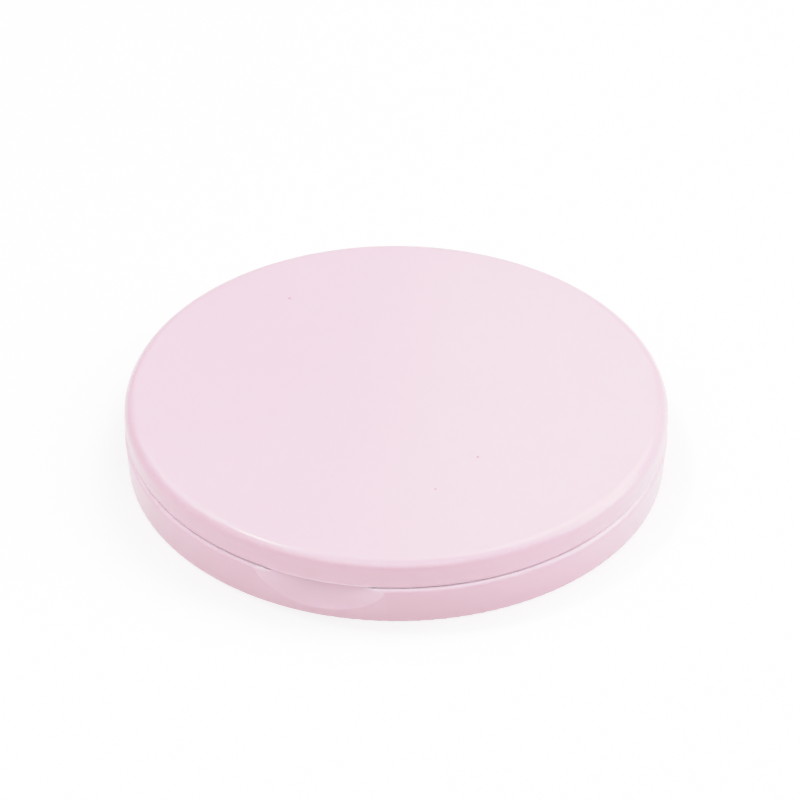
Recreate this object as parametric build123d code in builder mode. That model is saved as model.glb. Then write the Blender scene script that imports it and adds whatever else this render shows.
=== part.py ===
from build123d import *
import os
from math import radians, sqrt, tan

# A pocket wet palette in a round hinged case. Millimetres.
# Origin: centre of the underside. +Z is up, the thumb scoop faces -Y and the hinge is at +Y.
# Lid body: lid_shell, lid_frame, mixing_plate, lid_seal.
# Base body: base_shell, base_frame, hinge_pin, water_tray, sponge, palette_paper.

# Case
case_radius = 36.0
case_height = 9.6
wall_inner_radius = 34.3
base_top = 5.35
seam_gap = 0.1
lip_side_gap = 0.03
floor_top = 0.9
ceiling = 8.6
slip = 0.05

# Base outline
foot_radius = 35.6
foot_round = 0.2
shoulder_radius = 36.06  # before rounding
shoulder_round = 0.65

# Lid outline: the wall draws in a little, turns under at its lower edge,
# and its lip sits in a rabbet inside the base's shoulder
lid_turn_outer_radius = 35.88
lid_turn_outer_height = 6.15
lid_turn_inner_radius = 35.7
lid_turn_inner_height = 5.72
lid_edge_radius = 35.35
rabbet_floor = 5.1
rabbet_radius = lid_edge_radius + lip_side_gap
lid_bottom = rabbet_floor + seam_gap
rear_lip_bottom = base_top + seam_gap
rear_lip_half_width = 14.0
wall_break = 7.2
rim_round = 1.5
wall_round = 3.0
edge_break = 0.15

# Thumb scoop under the lid's edge
scoop_half_width = 8.9
scoop_drop = 4.4
scoop_depth = 1.8
scoop_edge_round = 0.25
scoop_boss_radius = 33.0
scoop_boss_half_width = 12.5

# Hinge, with its axis along X
hinge_y = 34.2
hinge_z = 4.6
hinge_gap = 0.2
block_inner = 2.8
block_outer = 10.4
block_front = 32.3
block_radius = 3.7
knuckle_half_width = block_inner - hinge_gap
knuckle_radius = 1.5
arm_thickness = 1.6
arm_angle = 55.0
arm_top = ceiling + 0.4
pin_radius = 0.6
pin_half_length = 7.2
running_clearance = 0.05
seat_clearance = 0.02
pin_slot_end = pin_half_length + 0.1
notch_half_width = block_outer + hinge_gap
notch_front = 30.3
notch_top = hinge_z + block_radius + hinge_gap

# Water tray, sponge and paper
tray_inner_radius = 28.2
tray_outer_radius = 29.2
tray_rim_radius = 31.2
tray_floor_top = 1.7
tray_rim_bottom = 4.75
tray_top = 5.5
sponge_radius = 28.0
sponge_top = 4.6
sponge_round = 0.5
paper_radius = 26.8
paper_thickness = 0.15

# Base frame
frame_outer_radius = wall_inner_radius - slip
frame_wall_radius = 33.3
frame_skirt_inner = 30.2
frame_skirt_outer = 31.0
frame_seat_radius = tray_rim_radius + 0.1
deck_bottom = 4.1
deck_top = rabbet_floor
lift_notch_radius = 5.0
lift_notch_floor = 4.5

# Lid frame, mixing plate and seal
lid_frame_inner = 28.2
lid_frame_flange_bottom = 6.6
lid_frame_flange_top = 7.6
lid_frame_wall_bottom = 5.6
seal_carrier_radius = 30.5
seal_carrier_bottom = 5.9
seal_inner_radius = 28.9
seal_outer_radius = 29.9
seal_round = (seal_outer_radius - seal_inner_radius) / 2
seal_bottom = 5.6
seal_top = 6.7
plate_radius = 29.6
plate_pocket_wall = 30.6
well_radius = 6.3
well_depth = 0.45
well_circle_radius = 17.6
well_count = 6

# Snap catch at the front
catch_half_width = 3.5
catch_outer_y = -32.3
catch_thickness = 0.7
catch_bottom = 3.4
catch_bead = 0.35
catch_bead_top = 4.1
catch_bead_height = 0.5
catch_window_half_width = catch_half_width + 0.4
catch_window_inner_y = -31.3
catch_rib_inner_y = catch_outer_y - catch_bead - slip
catch_rib_bottom = 4.3
catch_rib_top = 4.8

overrun = 2.0  # how far a cutter runs past the face it cuts


def block(x_range, y_range, z_range):
    """A plain box between pairs of coordinates."""
    sizes = [high - low for low, high in (x_range, y_range, z_range)]
    middles = [(high + low) / 2 for low, high in (x_range, y_range, z_range)]
    with BuildPart() as made:
        with Locations(tuple(middles)):
            Box(*sizes)
    return made.part


def x_rod(radius, x_low, x_high):
    """A cylinder along the hinge axis."""
    with BuildPart() as made:
        with BuildSketch(Plane.YZ.offset(x_low)):
            with Locations((hinge_y, hinge_z)):
                Circle(radius)
        extrude(amount=x_high - x_low)
    return made.part


def scoop_cutter():
    """A barrel about an axis along X at the seam, whose skin is the scoop's hollow."""
    middle_radius = (scoop_depth**2 + scoop_drop**2) / (2 * scoop_depth)
    axis_y = -(case_radius - scoop_depth + middle_radius)
    wall_y = -sqrt(case_radius**2 - scoop_half_width**2)
    end_radius = wall_y - axis_y
    with BuildPart() as made:
        with BuildSketch(Plane((0, axis_y, base_top), x_dir=(1, 0, 0), z_dir=(0, 0, 1))):
            with BuildLine():
                ThreePointArc(
                    (-scoop_half_width, end_radius), (0, middle_radius), (scoop_half_width, end_radius)
                )
                Line((scoop_half_width, end_radius), (scoop_half_width, 0))
                Line((scoop_half_width, 0), (-scoop_half_width, 0))
                Line((-scoop_half_width, 0), (-scoop_half_width, end_radius))
            make_face()
        revolve(axis=Axis((0, axis_y, base_top), (1, 0, 0)))
    return made.part


def hinge_blocks():
    """The base's two hinge blocks: rounded about the hinge axis, flush with the lid's wall outside."""
    block_envelope_radius = lid_edge_radius - slip
    with BuildPart() as made:
        with BuildSketch(Plane.YZ.offset(block_inner)):
            with Locations((hinge_y, hinge_z)):
                Circle(block_radius)
            with Locations((hinge_y, hinge_z / 2 + floor_top / 4)):
                Rectangle(2 * block_radius, hinge_z - floor_top / 2)
            with Locations((block_front - block_radius, hinge_z)):
                Rectangle(2 * block_radius, 4 * block_radius, mode=Mode.SUBTRACT)
        extrude(amount=block_outer - block_inner)
        with BuildSketch(Plane.XZ):
            with BuildLine():
                FilletPolyline(
                    (0, floor_top / 2),
                    (block_envelope_radius, floor_top / 2),
                    (block_envelope_radius, lid_bottom),
                    (case_radius - slip, wall_break),
                    (case_radius - slip, case_height),
                    (0, case_height),
                    (0, floor_top / 2),
                    radius=0,
                )
            make_face()
        revolve(axis=Axis.Z, mode=Mode.INTERSECT)
        mirror(about=Plane.YZ)
    return made.part


def build_base_shell():
    """The lower shell: bowl, thumb scoop, boss behind the scoop, hinge blocks and catch rib."""
    with BuildPart() as base_shell:
        with BuildSketch(Plane.XZ):
            with BuildLine():
                FilletPolyline(
                    (0, 0),
                    (foot_radius, 0),
                    (shoulder_radius, base_top),
                    (wall_inner_radius, base_top),
                    (wall_inner_radius, floor_top),
                    (0, floor_top),
                    radius=(foot_round, shoulder_round, 0, 0),
                )
                Line((0, floor_top), (0, 0))
            make_face()
        revolve(axis=Axis.Z)
        # boss behind the scoop
        with BuildSketch(Plane.XY.offset(floor_top)):
            Circle(wall_inner_radius + slip)
            Circle(scoop_boss_radius, mode=Mode.SUBTRACT)
            with Locations((0, -case_radius / 2)):
                Rectangle(2 * scoop_boss_half_width, case_radius, mode=Mode.INTERSECT)
        extrude(amount=base_top - floor_top)
        add(scoop_cutter(), mode=Mode.SUBTRACT)
        scoop_rim = [
            edge
            for edge in base_shell.edges()
            if edge.bounding_box().max.Y < scoop_depth - case_radius
            and foot_round < edge.bounding_box().min.Z < base_top - slip
        ]
        fillet(scoop_rim, radius=scoop_edge_round)
        # rabbet for the lid's lip
        with BuildSketch(Plane.XY.offset(rabbet_floor)):
            Circle(rabbet_radius)
        extrude(amount=case_height, mode=Mode.SUBTRACT)
        add(hinge_blocks())
        # pocket for the lid's knuckle
        pocket_floor = hinge_z - knuckle_radius - hinge_gap
        pocket = block(
            (-block_inner, block_inner),
            (block_front, case_radius + overrun),
            (pocket_floor, case_height),
        )
        add(pocket, mode=Mode.SUBTRACT)
        # the pin drops into slots that open towards the middle
        slot_half_height = pin_radius + seat_clearance
        slot = block(
            (-pin_slot_end, pin_slot_end),
            (block_front - overrun, hinge_y),
            (hinge_z - slot_half_height, hinge_z + slot_half_height),
        )
        add(slot, mode=Mode.SUBTRACT)
        add(x_rod(slot_half_height, -pin_slot_end, pin_slot_end), mode=Mode.SUBTRACT)
        rib = block(
            (-catch_half_width, catch_half_width),
            (-scoop_boss_radius - slip, catch_rib_inner_y),
            (catch_rib_bottom, catch_rib_top),
        )
        add(rib)
    return base_shell.part


def build_base_frame():
    """The ring inside the base: deck, tray seat, catch window and the tongues that hold the pin."""
    with BuildPart() as base_frame:
        with BuildSketch(Plane.XZ):
            with BuildLine():
                Polyline(
                    (frame_skirt_inner, floor_top),
                    (frame_skirt_outer, floor_top),
                    (frame_skirt_outer, deck_bottom),
                    (frame_wall_radius, deck_bottom),
                    (frame_wall_radius, floor_top),
                    (frame_outer_radius, floor_top),
                    (frame_outer_radius, deck_top),
                    (frame_seat_radius, deck_top),
                    (frame_seat_radius, tray_rim_bottom),
                    (frame_skirt_inner, tray_rim_bottom),
                    close=True,
                )
            make_face()
        revolve(axis=Axis.Z)
        # room for the boss behind the scoop
        with BuildSketch(Plane.XY.offset(floor_top)):
            Circle(case_radius)
            Circle(scoop_boss_radius - 2 * slip, mode=Mode.SUBTRACT)
            with Locations((0, -case_radius / 2)):
                Rectangle(2 * scoop_boss_half_width + 4 * slip, case_radius, mode=Mode.INTERSECT)
        extrude(amount=case_height, mode=Mode.SUBTRACT)
        # room for the hinge
        hinge_room = block(
            (-notch_half_width, notch_half_width),
            (block_front - 2 * slip, case_radius),
            (0, case_height),
        )
        add(hinge_room, mode=Mode.SUBTRACT)
        catch_window = block(
            (-catch_window_half_width, catch_window_half_width),
            (-case_radius, catch_window_inner_y),
            (catch_bottom - 2 * hinge_gap, case_height),
        )
        add(catch_window, mode=Mode.SUBTRACT)
        # half-moon notches where a fingernail lifts the tray
        with BuildSketch(Plane.XY.offset(lift_notch_floor)):
            with Locations((-tray_rim_radius + 1, 0), (tray_rim_radius - 1, 0)):
                Circle(lift_notch_radius)
            Circle(frame_wall_radius - 0.5, mode=Mode.INTERSECT)
        extrude(amount=deck_top, mode=Mode.SUBTRACT)
        # tongues that close the pin slots
        tongue = block(
            (block_inner + hinge_gap, pin_half_length),
            (frame_seat_radius + 0.2, hinge_y - pin_radius - slip),
            (hinge_z - pin_radius + slip, hinge_z + pin_radius - slip),
        )
        add(tongue)
        add(tongue.mirror(Plane.YZ))
    return base_frame.part


def build_water_tray():
    """The lift-out tray that holds the wet sponge; its rim meets the lid's seal."""
    with BuildPart() as water_tray:
        with BuildSketch(Plane.XZ):
            with BuildLine():
                FilletPolyline(
                    (0, floor_top),
                    (tray_outer_radius, floor_top),
                    (tray_outer_radius, tray_rim_bottom),
                    (tray_rim_radius, tray_rim_bottom),
                    (tray_rim_radius, tray_top),
                    (tray_inner_radius, tray_top),
                    (tray_inner_radius, tray_floor_top),
                    (0, tray_floor_top),
                    radius=(0.6, 0, 0.1, 0.2, 0.2, 0),
                )
                Line((0, tray_floor_top), (0, floor_top))
            make_face()
        revolve(axis=Axis.Z)
    return water_tray.part


def build_sponge():
    """The flat sponge that keeps the paper wet."""
    with BuildPart() as sponge:
        with BuildSketch(Plane.XY.offset(tray_floor_top)):
            Circle(sponge_radius)
        extrude(amount=sponge_top - tray_floor_top)
        fillet(sponge.faces().sort_by(Axis.Z)[-1].edges(), radius=sponge_round)
    return sponge.part


def build_palette_paper():
    """The membrane paper that the paint lies on."""
    with BuildPart() as palette_paper:
        with BuildSketch(Plane.XY.offset(sponge_top)):
            Circle(paper_radius)
        extrude(amount=paper_thickness)
    return palette_paper.part


def build_hinge_pin():
    """The steel hinge pin."""
    with BuildPart() as hinge_pin:
        add(x_rod(pin_radius, -pin_half_length, pin_half_length))
        chamfer(hinge_pin.edges().filter_by(GeomType.CIRCLE), length=0.1)
    return hinge_pin.part


def build_lid_shell():
    """The upper shell with the notch for the hinge blocks, and the knuckle on its slanted arm."""
    arm_run = 1 / tan(radians(arm_angle))
    arm_top_y = hinge_y - (arm_top - hinge_z) * arm_run
    arm_half_run = arm_thickness / 2 * sqrt(1 + arm_run**2)
    with BuildPart() as lid_shell:
        with BuildSketch(Plane.XZ):
            with BuildLine():
                FilletPolyline(
                    (0, case_height),
                    (case_radius, case_height),
                    (case_radius, wall_break),
                    (lid_turn_outer_radius, lid_turn_outer_height),
                    (lid_turn_inner_radius, lid_turn_inner_height),
                    (lid_edge_radius, lid_bottom + edge_break),
                    (lid_edge_radius - edge_break, lid_bottom),
                    (wall_inner_radius, lid_bottom),
                    (wall_inner_radius, ceiling),
                    (0, ceiling),
                    radius=(rim_round, wall_round, 0, 0, 0, 0, 0, 0),
                )
                Line((0, ceiling), (0, case_height))
            make_face()
        revolve(axis=Axis.Z)
        notch = block(
            (-notch_half_width, notch_half_width),
            (notch_front, case_radius + overrun),
            (0, notch_top),
        )
        add(notch, mode=Mode.SUBTRACT)
        # the lip is shorter beside the hinge, where it swings back over the shoulder
        rear_lip = block(
            (-rear_lip_half_width, rear_lip_half_width),
            (0, case_radius),
            (0, rear_lip_bottom),
        )
        add(rear_lip, mode=Mode.SUBTRACT)
        with BuildSketch(Plane.YZ.offset(-knuckle_half_width)):
            with Locations((hinge_y, hinge_z)):
                Circle(knuckle_radius)
            with BuildLine():
                Polyline(
                    (hinge_y - arm_half_run, hinge_z),
                    (hinge_y + arm_half_run, hinge_z),
                    (arm_top_y + arm_half_run, arm_top),
                    (arm_top_y - arm_half_run, arm_top),
                    close=True,
                )
            make_face()
        extrude(amount=2 * knuckle_half_width)
        bore_radius = pin_radius + running_clearance
        add(x_rod(bore_radius, -block_inner, block_inner), mode=Mode.SUBTRACT)
    return lid_shell.part


def build_lid_frame():
    """The ring inside the lid: it holds the mixing plate and the seal and carries the catch."""
    groove_inner = seal_inner_radius - slip
    groove_outer = seal_outer_radius + slip
    with BuildPart() as lid_frame:
        with BuildSketch(Plane.XZ):
            with BuildLine():
                Polyline(
                    (lid_frame_inner, seal_carrier_bottom),
                    (groove_inner, seal_carrier_bottom),
                    (groove_inner, seal_top),
                    (groove_outer, seal_top),
                    (groove_outer, seal_carrier_bottom),
                    (seal_carrier_radius, seal_carrier_bottom),
                    (seal_carrier_radius, lid_frame_flange_bottom),
                    (frame_wall_radius, lid_frame_flange_bottom),
                    (frame_wall_radius, lid_frame_wall_bottom),
                    (frame_outer_radius, lid_frame_wall_bottom),
                    (frame_outer_radius, ceiling),
                    (frame_wall_radius, ceiling),
                    (frame_wall_radius, lid_frame_flange_top),
                    (plate_pocket_wall, lid_frame_flange_top),
                    (plate_pocket_wall, ceiling),
                    (plate_radius + 2 * slip, ceiling),
                    (plate_radius + 2 * slip, lid_frame_flange_top),
                    (lid_frame_inner, lid_frame_flange_top),
                    close=True,
                )
            make_face()
        revolve(axis=Axis.Z)
        hinge_room = block(
            (-notch_half_width, notch_half_width),
            (notch_front, case_radius),
            (0, case_height),
        )
        add(hinge_room, mode=Mode.SUBTRACT)
        # snap tongue with its bead
        tongue = block(
            (-catch_half_width, catch_half_width),
            (catch_outer_y, catch_outer_y + catch_thickness),
            (catch_bottom, lid_frame_flange_bottom + slip),
        )
        add(tongue)
        with BuildSketch(Plane.YZ.offset(-catch_half_width)):
            with BuildLine():
                Line((catch_outer_y, catch_bead_top), (catch_outer_y, catch_bead_top - catch_bead_height))
                ThreePointArc(
                    (catch_outer_y, catch_bead_top - catch_bead_height),
                    (catch_outer_y - catch_bead, catch_bead_top - catch_bead_height / 2),
                    (catch_outer_y, catch_bead_top),
                )
            make_face()
        extrude(amount=2 * catch_half_width)
    return lid_frame.part


def build_mixing_plate():
    """The white plate inside the lid, with shallow wells for mixing."""
    ball_radius = (well_radius**2 + well_depth**2) / (2 * well_depth)
    ball_z = lid_frame_flange_top + well_depth - ball_radius
    with BuildPart() as mixing_plate:
        with BuildSketch(Plane.XY.offset(lid_frame_flange_top)):
            Circle(plate_radius)
        extrude(amount=ceiling - lid_frame_flange_top)
        with Locations((0, 0, ball_z)):
            with PolarLocations(well_circle_radius, well_count):
                Sphere(ball_radius, mode=Mode.SUBTRACT)
            Sphere(ball_radius, mode=Mode.SUBTRACT)
    return mixing_plate.part


def build_lid_seal():
    """The silicone ring that closes on the tray's rim."""
    with BuildPart() as lid_seal:
        with BuildSketch(Plane.XZ):
            with BuildLine():
                Line((seal_inner_radius, seal_top), (seal_inner_radius, seal_bottom + seal_round))
                ThreePointArc(
                    (seal_inner_radius, seal_bottom + seal_round),
                    (seal_inner_radius + seal_round, seal_bottom),
                    (seal_outer_radius, seal_bottom + seal_round),
                )
                Line((seal_outer_radius, seal_bottom + seal_round), (seal_outer_radius, seal_top))
                Line((seal_outer_radius, seal_top), (seal_inner_radius, seal_top))
            make_face()
        revolve(axis=Axis.Z)
    return lid_seal.part


pieces = {
    "base_shell": build_base_shell(),
    "base_frame": build_base_frame(),
    "hinge_pin": build_hinge_pin(),
    "water_tray": build_water_tray(),
    "sponge": build_sponge(),
    "palette_paper": build_palette_paper(),
    "lid_shell": build_lid_shell(),
    "lid_frame": build_lid_frame(),
    "mixing_plate": build_mixing_plate(),
    "lid_seal": build_lid_seal(),
}

os.makedirs("parts", exist_ok=True)
for name, piece in pieces.items():
    piece.label = name
    export_step(piece, f"parts/{name}.step")
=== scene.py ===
import math

import bmesh
import bpy
from mathutils import Matrix, Vector, noise


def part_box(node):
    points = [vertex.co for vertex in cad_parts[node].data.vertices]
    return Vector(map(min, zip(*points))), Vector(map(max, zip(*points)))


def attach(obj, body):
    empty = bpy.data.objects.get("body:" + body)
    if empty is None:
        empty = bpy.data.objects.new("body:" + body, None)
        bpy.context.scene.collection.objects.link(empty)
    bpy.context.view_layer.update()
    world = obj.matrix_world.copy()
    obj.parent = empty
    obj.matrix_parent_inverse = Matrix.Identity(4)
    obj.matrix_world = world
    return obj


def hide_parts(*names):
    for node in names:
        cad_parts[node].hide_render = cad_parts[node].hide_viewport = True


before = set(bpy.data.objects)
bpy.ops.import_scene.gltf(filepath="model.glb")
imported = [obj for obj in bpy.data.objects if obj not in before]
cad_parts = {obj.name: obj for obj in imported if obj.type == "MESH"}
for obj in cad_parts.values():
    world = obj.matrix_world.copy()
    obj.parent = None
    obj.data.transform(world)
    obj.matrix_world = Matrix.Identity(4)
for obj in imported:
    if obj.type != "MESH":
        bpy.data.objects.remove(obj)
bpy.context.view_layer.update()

MM = 0.001

# The camera: where it stands round the case, and how far from its centre.
CAMERA_AZIMUTH = 16.3
CAMERA_ELEVATION = 36.99
CAMERA_ROLL = 0.22
CAMERA_DISTANCE = 0.8
CAMERA_LENS = 270.1
CAMERA_SENSOR = 36.0
AIM_RIGHT = 0.00049
AIM_UP = 0.00737

# The studio: a glowing white table under an even white sky, and soft boxes round the case.
# Azimuth 0 is the camera's side and 90 is its right, both in degrees like the elevation.
# The rest is the distance and the size in metres and the power in watts.
FLOOR_SIZE = 8.0
FLOOR_WHITE = 0.5
FLOOR_GLOW = 0.67
SKY_STRENGTH = 0.182
SOFTBOXES = {
    "front": (0, 55, 0.90, 0.60, 2.90),
    "right_front": (45, 55, 0.90, 0.60, 1.22),
    "right_low": (90, 25, 0.90, 0.60, 4.90),
    "right_back": (135, 55, 0.90, 0.60, 4.60),
    "back": (180, 55, 0.90, 0.60, 0.50),
    "left_back": (225, 55, 0.90, 0.60, 2.08),
    "left_low": (270, 25, 0.90, 0.60, 0.70),
    "left_front": (315, 55, 0.90, 0.60, 1.09),
    "left_near": (315, 45, 0.22, 0.14, 0.088),
    "right_near": (60, 35, 0.18, 0.14, 0.016),
    "sheen": (168, 39, 0.20, 0.06, 0.020),
    "left_spot": (242, 66, 0.90, 0.10, 1.8),
}

# How the picture rolls off towards white: scene brightness and what it shows as.
BRIGHTEST = 1.8
TONE_POINTS = ((0.3, 0.3), (0.525, 0.509), (0.81, 0.752), (0.92, 0.815), (1.19, 0.896), (1.53, 0.985))

# How far light spreads in the plastics, and the share of that for red, green and blue.
SCATTER_REACH = 0.9 * MM
SCATTER_SHARES = (1.0, 0.7, 0.8)

# The case's outside in millimetres. Rings about Z are given as radius and height.
# The base's outer wall has FOOT_RADIUS at the bottom and grows by WALL_SLOPE for each millimetre of height.
POLISHED_RINGS = ((35.5, 9.1), (35.8, 5.2), (35.5, 0.1))
SEAM_HEIGHT = 5.35
# The ring round which the seam's shaded crease is painted paler, with a painted highlight band on the
# base's shoulder.
SEAM_PAINTED_LIGHT_RING = ((35.4, SEAM_HEIGHT),)
FOOT_RADIUS = 35.6
WALL_SLOPE = 0.086
SCOOP_HALF_WIDTH = 8.9
SCOOP_BACK = -33.0

# The sponge's pores, and how soft their edges are as a share of their size.
PORE_SIZE = 1.6 * MM
PORE_EDGE = 0.2


def place_on_sky(azimuth, elevation):
    """The direction to a point of the sky, with azimuth 0 on the camera's side."""
    a = math.radians(azimuth + CAMERA_AZIMUTH)
    e = math.radians(elevation)
    return Vector((math.sin(a) * math.cos(e), -math.cos(a) * math.cos(e), math.sin(e)))


def facing_centre(place):
    """A matrix at that place whose -Z axis points at the case's centre."""
    return Matrix.Translation(place) @ place.to_track_quat("Z", "Y").to_matrix().to_4x4()


def add_camera():
    """A long lens above the front of the case, a little to its right."""
    data = bpy.data.cameras.new("camera")
    data.lens = CAMERA_LENS
    data.sensor_width = CAMERA_SENSOR
    data.clip_start = 0.01
    data.clip_end = 50
    camera = bpy.data.objects.new("camera", data)
    bpy.context.collection.objects.link(camera)
    back = place_on_sky(0, CAMERA_ELEVATION)
    right = place_on_sky(90, 0)
    up = back.cross(right)
    place = back * CAMERA_DISTANCE
    aim = right * AIM_RIGHT + up * AIM_UP
    turn = (place - aim).to_track_quat("Z", "Y").to_matrix().to_4x4()
    roll = Matrix.Rotation(math.radians(CAMERA_ROLL), 4, "Z")
    camera.matrix_world = Matrix.Translation(place) @ turn @ roll
    bpy.context.scene.camera = camera


def add_floor():
    """The plain white table top."""
    half = FLOOR_SIZE / 2
    mesh = bpy.data.meshes.new("floor")
    corners = [(-half, -half, 0), (half, -half, 0), (half, half, 0), (-half, half, 0)]
    mesh.from_pydata(corners, [], [(0, 1, 2, 3)])
    floor = bpy.data.objects.new("floor", mesh)
    bpy.context.collection.objects.link(floor)
    material = bpy.data.materials.new("floor_white")
    material.use_nodes = True
    surface = material.node_tree.nodes["Principled BSDF"]
    surface.inputs["Base Color"].default_value = (FLOOR_WHITE, FLOOR_WHITE, FLOOR_WHITE, 1)
    surface.inputs["Emission Color"].default_value = (1, 1, 1, 1)
    surface.inputs["Emission Strength"].default_value = FLOOR_GLOW
    surface.inputs["Roughness"].default_value = 0.9
    surface.inputs["Specular IOR Level"].default_value = 0.0
    mesh.materials.append(material)


def add_lights():
    """The sky and the soft boxes."""
    world = bpy.data.worlds.new("studio")
    world.use_nodes = True
    sky = world.node_tree.nodes["Background"]
    sky.inputs["Color"].default_value = (1, 1, 1, 1)
    sky.inputs["Strength"].default_value = SKY_STRENGTH
    bpy.context.scene.world = world
    for name, (azimuth, elevation, distance, size, power) in SOFTBOXES.items():
        data = bpy.data.lights.new(name, "AREA")
        data.shape = "SQUARE"
        data.size = size
        data.energy = power
        light = bpy.data.objects.new(name, data)
        light.matrix_world = facing_centre(place_on_sky(azimuth, elevation) * distance)
        light.visible_camera = False
        bpy.context.collection.objects.link(light)


def set_tone():
    """The roll-off towards white that a bright product picture has."""
    view = bpy.context.scene.view_settings
    view.view_transform = "Standard"
    view.look = "None"
    view.use_curve_mapping = True
    mapping = view.curve_mapping
    mapping.white_level = (BRIGHTEST, BRIGHTEST, BRIGHTEST)
    all_colours = mapping.curves[3]
    for brightness, shown in TONE_POINTS:
        all_colours.points.new(brightness / BRIGHTEST, shown)
    mapping.update()


class Finish:
    """A material made of nodes. Its textures are laid out in millimetres in the object's own frame."""

    def __init__(self, name, metallic=0.0, specular=0.5, subsurface=0.0):
        self.material = bpy.data.materials.new(name)
        self.material.use_nodes = True
        self.tree = self.material.node_tree
        self.surface = self.tree.nodes["Principled BSDF"]
        self.surface.inputs["Metallic"].default_value = metallic
        self.surface.inputs["Specular IOR Level"].default_value = specular
        self.surface.inputs["Subsurface Weight"].default_value = subsurface
        self.surface.inputs["Subsurface Radius"].default_value = SCATTER_SHARES
        self.surface.inputs["Subsurface Scale"].default_value = SCATTER_REACH
        coordinates = self.tree.nodes.new("ShaderNodeTexCoord")
        scaled = self.tree.nodes.new("ShaderNodeVectorMath")
        scaled.operation = "SCALE"
        scaled.inputs["Scale"].default_value = 1 / MM
        self.tree.links.new(coordinates.outputs["Object"], scaled.inputs[0])
        self.place = scaled.outputs[0]
        split = self.tree.nodes.new("ShaderNodeSeparateXYZ")
        self.tree.links.new(self.place, split.inputs[0])
        self.x, self.y, self.height = split.outputs
        self.radius = self.math("SQRT", self.math("ADD", self.squared(self.x), self.squared(self.y)))

    def put(self, socket, value):
        """Sets a socket to a number or colour, or links it to another node's output."""
        if isinstance(value, bpy.types.NodeSocket):
            self.tree.links.new(value, socket)
        else:
            socket.default_value = value

    def math(self, operation, first, second=0.0):
        made = self.tree.nodes.new("ShaderNodeMath")
        made.operation = operation
        self.put(made.inputs[0], first)
        self.put(made.inputs[1], second)
        return made.outputs[0]

    def squared(self, value):
        return self.math("MULTIPLY", value, value)

    def weighted(self, base, *pairs):
        """The base plus each value times its weight."""
        total = base
        for value, weight in pairs:
            total = self.math("ADD", self.math("MULTIPLY", value, weight), total)
        return total

    def fade(self, value, start, end):
        """0 before start, 1 after end, and smooth between; start may be the larger."""
        made = self.tree.nodes.new("ShaderNodeMapRange")
        made.interpolation_type = "SMOOTHSTEP"
        low, high = min(start, end), max(start, end)
        self.put(made.inputs["Value"], value)
        made.inputs["From Min"].default_value = low
        made.inputs["From Max"].default_value = high
        made.inputs["To Min"].default_value = 0.0 if start < end else 1.0
        made.inputs["To Max"].default_value = 1.0 if start < end else 0.0
        return made.outputs["Result"]

    def stretched(self, turn, sizes):
        """The place, turned about Z by that many degrees and divided by a size along each axis."""
        made = self.tree.nodes.new("ShaderNodeMapping")
        made.vector_type = "TEXTURE"
        made.inputs["Rotation"].default_value = (0, 0, math.radians(turn))
        made.inputs["Scale"].default_value = sizes
        self.put(made.inputs["Vector"], self.place)
        return made.outputs["Vector"]

    def noise(self, size=1.0, detail=2.0, place=None):
        """Noise from 0 to 1 with lumps of that size in millimetres."""
        made = self.tree.nodes.new("ShaderNodeTexNoise")
        made.inputs["Scale"].default_value = 1 / size
        made.inputs["Detail"].default_value = detail
        self.put(made.inputs["Vector"], place or self.place)
        return made.outputs["Fac"]

    def cells(self, size, place=None):
        """Distance in millimetres to the nearest of points scattered that far apart, and its number."""
        made = self.tree.nodes.new("ShaderNodeTexVoronoi")
        made.inputs["Scale"].default_value = 1 / size
        self.put(made.inputs["Vector"], place or self.place)
        number = self.tree.nodes.new("ShaderNodeSeparateColor")
        self.tree.links.new(made.outputs["Color"], number.inputs[0])
        return self.math("MULTIPLY", made.outputs["Distance"], size), number.outputs[0]

    def specks(self, spacing, share, size):
        """1 on a few small dots, 0 between them; the share is of the places that have a dot."""
        core = size * 0.4
        distance, number = self.cells(spacing)
        chosen = self.math("LESS_THAN", number, share)
        return self.math("MULTIPLY", self.fade(distance, size, core), chosen)

    def hairlines(self, turn, width, length):
        """Thin broken lines along one direction, 1 on the line."""
        spacing = width * 12
        piece_length = length * 0.6
        lumps = self.noise(1.0, 1.0, self.stretched(turn, (length, spacing, length)))
        off_middle = self.math("ABSOLUTE", self.math("SUBTRACT", lumps, 0.5))
        thin = self.fade(off_middle, 0.012, 0.002)
        unbroken = self.fade(self.noise(piece_length), 0.5, 0.62)
        return self.math("MULTIPLY", thin, unbroken)

    def near_rings(self, rings, reach):
        """1 on any of these rings of radius and height about Z, falling to 0 at the reach."""
        far_away = 1000.0
        nearest = far_away
        for radius, height in rings:
            out = self.squared(self.math("SUBTRACT", self.radius, radius))
            above = self.squared(self.math("SUBTRACT", self.height, height))
            nearest = self.math("MINIMUM", self.math("SQRT", self.math("ADD", out, above)), nearest)
        return self.fade(nearest, reach, 0.0)

    def mixed(self, factor, first, second):
        made = self.tree.nodes.new("ShaderNodeMix")
        made.data_type = "RGBA"
        self.put(made.inputs["Factor"], factor)
        for socket, colour in ((made.inputs["A"], first), (made.inputs["B"], second)):
            self.put(socket, colour if isinstance(colour, bpy.types.NodeSocket) else (*colour, 1))
        return made.outputs["Result"]

    def tinted(self, colour, mask, amount, tint):
        """The colour, moved that far towards the tint where the mask is 1."""
        return self.mixed(self.math("MULTIPLY", mask, amount), colour, tint)

    def finish(self, colour, roughness, relief):
        """Links the colour, the roughness, and the relief, a height in millimetres."""
        self.put(self.surface.inputs["Base Color"], colour)
        self.put(self.surface.inputs["Roughness"], roughness)
        bump = self.tree.nodes.new("ShaderNodeBump")
        bump.inputs["Distance"].default_value = MM
        self.put(bump.inputs["Height"], relief)
        self.tree.links.new(bump.outputs["Normal"], self.surface.inputs["Normal"])
        return self.material


def times(colour, factor):
    """The colour made lighter or darker."""
    return tuple(part * factor for part in colour)


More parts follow.
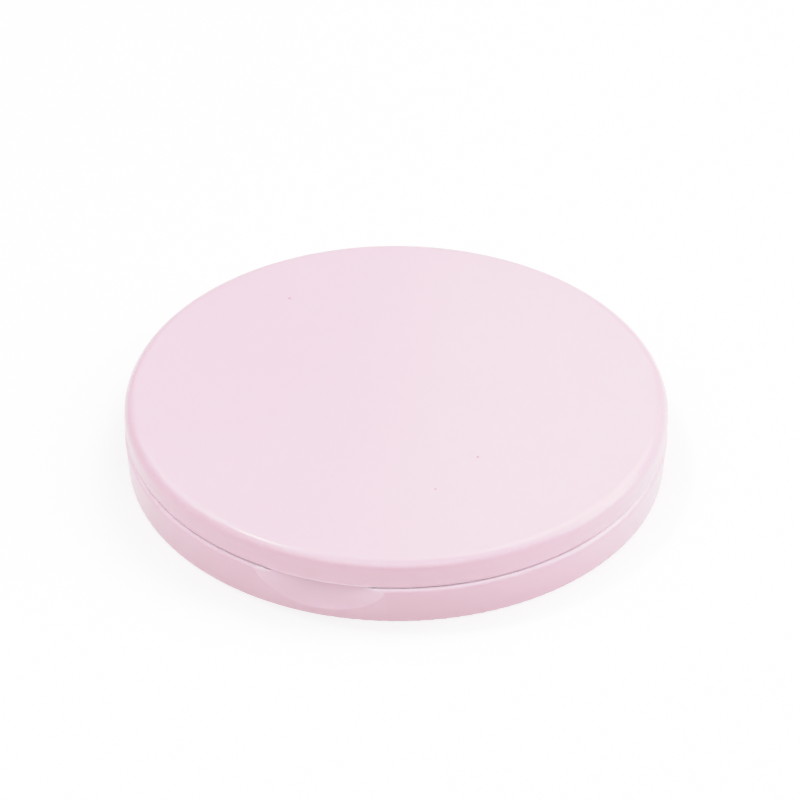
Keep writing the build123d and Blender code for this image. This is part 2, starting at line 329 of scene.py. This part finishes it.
def inside_scoop(f):
    """1 on the thumb scoop, which is sunk into the base's outer wall at the front, below the seam; the mask
    for the scoop's painted light.
    """
    wall = f.math("ADD", f.math("MULTIPLY", f.height, WALL_SLOPE), FOOT_RADIUS)
    sunk = f.fade(f.math("SUBTRACT", wall, f.radius), -0.03, 0.12)
    in_front = f.fade(f.y, SCOOP_BACK, SCOOP_BACK - 1.0)
    below = f.fade(f.height, SEAM_HEIGHT + 0.15, SEAM_HEIGHT - 0.05)
    across = f.fade(f.math("ABSOLUTE", f.x), SCOOP_HALF_WIDTH + 0.4, SCOOP_HALF_WIDTH - 0.6)
    return f.math("MULTIPLY", sunk, f.math("MULTIPLY", f.math("MULTIPLY", in_front, below), across))


def case_plastic():
    """Satin pink ABS: moulding ripple, hairlines, a few specks, and polished edges.

    The seam and the scoop are painted paler: painted light over the shaded crease at the seam, a painted
    highlight band on the base's shoulder, and painted light in the shaded thumb scoop.
    """
    pink = (0.626, 0.416, 0.485)
    polished_pink = (0.78, 0.60, 0.67)
    seam_painted_light_pink = (0.92, 0.75, 0.83)
    scoop_painted_light_pink = (0.78, 0.61, 0.69)
    speck_brown = (0.30, 0.12, 0.16)
    f = Finish("case_pink_satin", specular=0.35, subsurface=0.5)
    f.surface.inputs["Coat Weight"].default_value = 0.2
    f.surface.inputs["Coat Roughness"].default_value = 0.12
    clouds = f.noise(16, 2)
    haze = f.noise(1.8, 3)
    patches = f.fade(f.noise(0.9, 4), 0.40, 0.70)
    polished = f.math("MULTIPLY", f.near_rings(POLISHED_RINGS, 0.6), patches)
    lines = f.math("MAXIMUM", f.hairlines(24, 0.10, 16), f.hairlines(-52, 0.08, 11))
    specks = f.specks(3.4, 0.10, 0.24)
    colour = f.mixed(clouds, times(pink, 0.985), times(pink, 1.015))
    colour = f.tinted(colour, haze, 0.10, times(pink, 1.06))
    colour = f.tinted(colour, polished, 0.12, polished_pink)
    # Painted light: the shaded crease at the seam is painted paler, and the base's shoulder gets a painted
    # highlight band.
    colour = f.tinted(colour, f.near_rings(SEAM_PAINTED_LIGHT_RING, 0.75), 0.80, seam_painted_light_pink)
    # Painted light: the thumb scoop, a recess in shade under the lid's edge, is painted paler.
    colour = f.tinted(colour, inside_scoop(f), 0.42, scoop_painted_light_pink)
    colour = f.tinted(colour, specks, 0.75, speck_brown)
    roughness = f.weighted(0.27, (clouds, 0.05), (haze, 0.05), (polished, -0.07), (lines, 0.10))
    ripple = f.weighted(0.0, (f.noise(3.0, 1), 0.004), (f.noise(0.14, 1), 0.0009))
    relief = f.weighted(ripple, (lines, -0.0015), (specks, 0.01))
    return f.finish(colour, roughness, relief)


def inner_plastic():
    """The same pink from a spark-eroded mould face: matte and finely pitted."""
    pink = (0.66, 0.44, 0.52)
    f = Finish("inner_pink_matte", subsurface=0.1)
    clouds = f.noise(9, 2)
    grain = f.noise(0.22, 2)
    rub = f.fade(f.noise(3.5, 3), 0.52, 0.68)
    colour = f.mixed(clouds, times(pink, 0.97), times(pink, 1.03))
    colour = f.tinted(colour, rub, 0.15, times(pink, 1.12))
    roughness = f.weighted(0.48, (grain, 0.12), (rub, -0.08))
    relief = f.weighted(0.0, (grain, 0.006), (f.noise(2.5, 1), 0.004))
    return f.finish(colour, roughness, relief)


def white_gloss(name, white, roughness, scuffs):
    """Glossy white plastic with flow ripple and scuffs from brushes and knives."""
    smear_pink = (0.72, 0.66, 0.68)
    speck_brown = (0.45, 0.38, 0.36)
    f = Finish(name, specular=0.55, subsurface=0.08)
    clouds = f.noise(11, 2)
    smears = f.fade(f.noise(4.0, 4), 0.50, 0.70)
    lines = f.math("MAXIMUM", f.hairlines(35, 0.10, 9), f.hairlines(-20, 0.08, 14))
    lines = f.math("MAXIMUM", lines, f.hairlines(80, 0.09, 7))
    specks = f.specks(3.0, 0.06, 0.18)
    colour = f.mixed(clouds, times(white, 0.975), times(white, 1.01))
    colour = f.tinted(colour, smears, 0.06, smear_pink)
    colour = f.tinted(colour, specks, 0.5, speck_brown)
    rough = f.weighted(roughness, (smears, 0.10), (lines, 0.25 * scuffs), (clouds, 0.03))
    ripple = f.weighted(0.0, (f.noise(2.2, 1), 0.006), (f.noise(0.12, 1), 0.0006))
    return f.finish(colour, rough, f.weighted(ripple, (lines, -0.004 * scuffs)))


def silicone():
    """Translucent white silicone: soft sheen, moulding haze and dust."""
    clear_white = (0.60, 0.60, 0.60)
    hazy_white = (0.68, 0.68, 0.68)
    dust_grey = (0.46, 0.42, 0.41)
    f = Finish("seal_silicone_soft", specular=0.45, subsurface=0.35)
    haze = f.noise(1.4, 3)
    dust = f.specks(1.3, 0.25, 0.10)
    colour = f.mixed(haze, clear_white, hazy_white)
    colour = f.tinted(colour, dust, 0.5, dust_grey)
    roughness = f.weighted(0.38, (haze, 0.12), (dust, 0.1))
    return f.finish(colour, roughness, f.weighted(0.0, (haze, 0.008), (f.noise(0.2, 1), 0.002)))


def turned_steel():
    """The pin's steel, with fine rings from the lathe and a trace of tarnish."""
    dark_steel = (0.56, 0.55, 0.54)
    light_steel = (0.66, 0.65, 0.64)
    tarnish_brown = (0.40, 0.35, 0.29)
    f = Finish("pin_steel_turned", metallic=1.0)
    rings = f.noise(1.0, 3, f.stretched(0, (0.06, 40, 40)))
    tarnish = f.fade(f.noise(1.5, 3), 0.48, 0.70)
    colour = f.mixed(rings, dark_steel, light_steel)
    colour = f.tinted(colour, tarnish, 0.3, tarnish_brown)
    roughness = f.weighted(0.18, (rings, 0.16), (tarnish, 0.14))
    return f.finish(colour, roughness, f.weighted(0.0, (rings, 0.0025)))


def cellulose():
    """Damp cellulose sponge: pale yellow, full of small open pores, with painted shade in the pores."""
    deep_yellow = (0.66, 0.50, 0.20)
    pale_yellow = (0.76, 0.61, 0.29)
    pore_painted_shade_brown = (0.38, 0.25, 0.07)
    f = Finish("sponge_cellulose", specular=0.35, subsurface=0.15)
    small, _ = f.cells(0.55)
    large, _ = f.cells(1.7)
    pits = f.math("MAXIMUM", f.fade(small, 0.26, 0.10), f.fade(large, 0.55, 0.25))
    clouds = f.noise(6, 3)
    colour = f.mixed(clouds, deep_yellow, pale_yellow)
    # Painted shade: the pores are painted dark brown for the shade inside them.
    colour = f.tinted(colour, pits, 0.7, pore_painted_shade_brown)
    roughness = f.weighted(0.50, (clouds, 0.2), (pits, 0.15))
    relief = f.weighted(0.0, (pits, -0.12), (f.noise(0.3, 3), 0.04))
    return f.finish(colour, roughness, relief)


def membrane():
    """Damp membrane paper: translucent off-white, with fibres and wetter patches."""
    thin_white = (0.50, 0.48, 0.40)
    dense_white = (0.62, 0.60, 0.53)
    wet_cream = (0.42, 0.38, 0.27)
    sponge_yellow = (0.44, 0.36, 0.18)
    f = Finish("membrane_paper_damp", specular=0.4, subsurface=0.2)
    fibres = f.weighted(
        0.0,
        (f.noise(1.0, 3, f.stretched(12, (2.4, 0.12, 2.4))), 0.4),
        (f.noise(1.0, 3, f.stretched(68, (2.0, 0.10, 2.0))), 0.3),
        (f.noise(1.0, 3, f.stretched(-41, (2.2, 0.11, 2.2))), 0.3),
    )
    wet = f.fade(f.noise(9, 3), 0.46, 0.60)
    pore_distance, _ = f.cells(0.9)
    colour = f.mixed(fibres, thin_white, dense_white)
    colour = f.tinted(colour, wet, 0.45, wet_cream)
    colour = f.tinted(colour, f.fade(pore_distance, 0.35, 0.1), 0.12, sponge_yellow)
    roughness = f.weighted(0.46, (fibres, 0.15), (wet, -0.16))
    return f.finish(colour, roughness, f.weighted(0.0, (fibres, 0.012), (f.noise(0.25, 2), 0.003)))


def disc_piece(name, rings, around):
    """A mesh of rings of points about Z between two centre points; rings is a list of point lists."""
    shape = bmesh.new()
    first, *middle, last = rings
    bottom = shape.verts.new(first[0])
    top = shape.verts.new(last[0])
    loops = [[shape.verts.new(point) for point in ring] for ring in middle]
    for i in range(around):
        j = (i + 1) % around
        shape.faces.new((bottom, loops[0][j], loops[0][i]))
        shape.faces.new((top, loops[-1][i], loops[-1][j]))
        for inner, outer in zip(loops, loops[1:]):
            shape.faces.new((inner[i], inner[j], outer[j], outer[i]))
    mesh = bpy.data.meshes.new(name)
    shape.to_mesh(mesh)
    shape.free()
    for face in mesh.polygons:
        face.use_smooth = True
    piece = bpy.data.objects.new(name, mesh)
    bpy.context.collection.objects.link(piece)
    return piece


def ring_points(radius, around, height):
    """Points round a ring; height is a function of x and y."""
    points = []
    for i in range(around):
        angle = math.tau * i / around
        x, y = radius * math.cos(angle), radius * math.sin(angle)
        points.append((x, y, height(x, y)))
    return points


def soft_step(value):
    """0 below 0, 1 above 1, and smooth between."""
    value = min(1.0, max(0.0, value))
    return value * value * (3 - 2 * value)


def pore(spot, reach):
    """1 in one of the sponge's pores, 0 between them; the reach is a share of their size."""
    nearest = noise.voronoi(spot / PORE_SIZE)[0][0]
    return soft_step((reach - nearest) / PORE_EDGE)


def make_sponge():
    """The sponge: a die-cut disc, swollen with water between the tray's walls, with open pores."""
    low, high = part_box("sponge")
    around = 360
    side_steps = 9
    round_steps = 4
    top_steps = 70
    radius = high.x - 0.15 * MM
    edge_round = 0.45 * MM
    waist = 0.10 * MM
    swell = 0.18 * MM
    swell_size = 9 * MM
    top_pore_depth = 0.35 * MM
    side_pore_depth = 0.12 * MM
    side_bottom = low.z + edge_round * 0.4
    top = high.z - swell
    side_top = top - edge_round

    def top_height(x, y):
        spot = Vector((x, y, 0))
        lift = 0.8 * swell * noise.noise(spot / swell_size)
        return top - top_pore_depth * pore(spot, 0.34) + lift

    def side_dent(angle, z):
        spot = Vector((math.cos(angle), math.sin(angle), 0)) * radius + Vector((0, 0, z))
        return side_pore_depth * pore(spot, 0.36)

    rings = [[(0, 0, low.z)]]
    for share in (0.3, 0.6, 0.85, 0.96):
        rings.append(ring_points(radius * share, around, lambda x, y: low.z))
    for i in range(side_steps + 1):
        z = side_bottom + (side_top - side_bottom) * i / side_steps
        pulled_in = waist * math.sin(math.pi * i / side_steps)
        ring = []
        for k in range(around):
            angle = math.tau * k / around
            out = radius - pulled_in - side_dent(angle, z)
            ring.append((out * math.cos(angle), out * math.sin(angle), z))
        rings.append(ring)
    for i in range(1, round_steps):
        turn = math.pi / 2 * i / round_steps
        out = radius - edge_round * (1 - math.cos(turn))
        z = top - edge_round * (1 - math.sin(turn))
        rings.append(ring_points(out, around, lambda x, y: z))
    for i in range(top_steps):
        out = (radius - edge_round) * (1 - i / top_steps)
        rings.append(ring_points(out, around, top_height))
    rings.append([(0, 0, top_height(0, 0))])
    sponge = disc_piece("sponge_disc", rings, around)
    sponge.data.materials.append(cellulose())
    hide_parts("sponge")
    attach(sponge, "base")
    return sponge


def make_paper(sponge):
    """The membrane paper: it lies on the sponge, with shallow blisters and a lifted edge."""
    low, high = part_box("palette_paper")
    around = 240
    steps = 64
    radius = high.x
    thickness = 0.12 * MM
    blister_size, blister_height = 11 * MM, 0.55 * MM
    ripple_size, ripple_height = 4.5 * MM, 0.07 * MM
    curl_size, curl_height = 7 * MM, 0.35 * MM
    curl_count = 5
    curl_start = 0.80

    def height(x, y):
        spot = Vector((x, y, 0))
        blister = max(0.0, noise.noise(spot / blister_size + Vector((3, 1, 0))) - 0.08)
        ripple = max(0.0, noise.noise(spot / ripple_size))
        edge = soft_step((math.hypot(x, y) / radius - curl_start) / (1 - curl_start))
        wave = max(0.0, math.sin(curl_count * math.atan2(y, x) + 1.1))
        curl = wave + 0.5 * max(0.0, noise.noise(spot / curl_size))
        return blister_height * blister + ripple_height * ripple + curl_height * edge * curl

    def under(x, y):
        return low.z + height(x, y)

    def over(x, y):
        return under(x, y) + thickness

    rings = [[(0, 0, under(0, 0))]]
    for i in range(1, steps + 1):
        rings.append(ring_points(radius * i / steps, around, under))
    for i in range(steps, 0, -1):
        rings.append(ring_points(radius * i / steps, around, over))
    rings.append([(0, 0, over(0, 0))])
    paper = disc_piece("palette_paper_sheet", rings, around)
    paper.data.materials.append(membrane())
    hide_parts("palette_paper")
    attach(paper, "base")


def dress_cad_nodes():
    """Gives every CAD node that is shown its material."""
    tray_white = (0.56, 0.56, 0.55)
    plate_white = (0.64, 0.64, 0.63)
    case = case_plastic()
    inner = inner_plastic()
    finishes = {
        "base_shell": case,
        "lid_shell": case,
        "base_frame": inner,
        "lid_frame": inner,
        "hinge_pin": turned_steel(),
        "water_tray": white_gloss("tray_white_gloss", tray_white, roughness=0.20, scuffs=0.6),
        "mixing_plate": white_gloss("plate_white_gloss", plate_white, roughness=0.14, scuffs=1.0),
        "lid_seal": silicone(),
    }
    for name, material in finishes.items():
        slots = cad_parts[name].data.materials
        slots.clear()
        slots.append(material)


add_camera()
add_floor()
add_lights()
set_tone()
dress_cad_nodes()
make_paper(make_sponge())
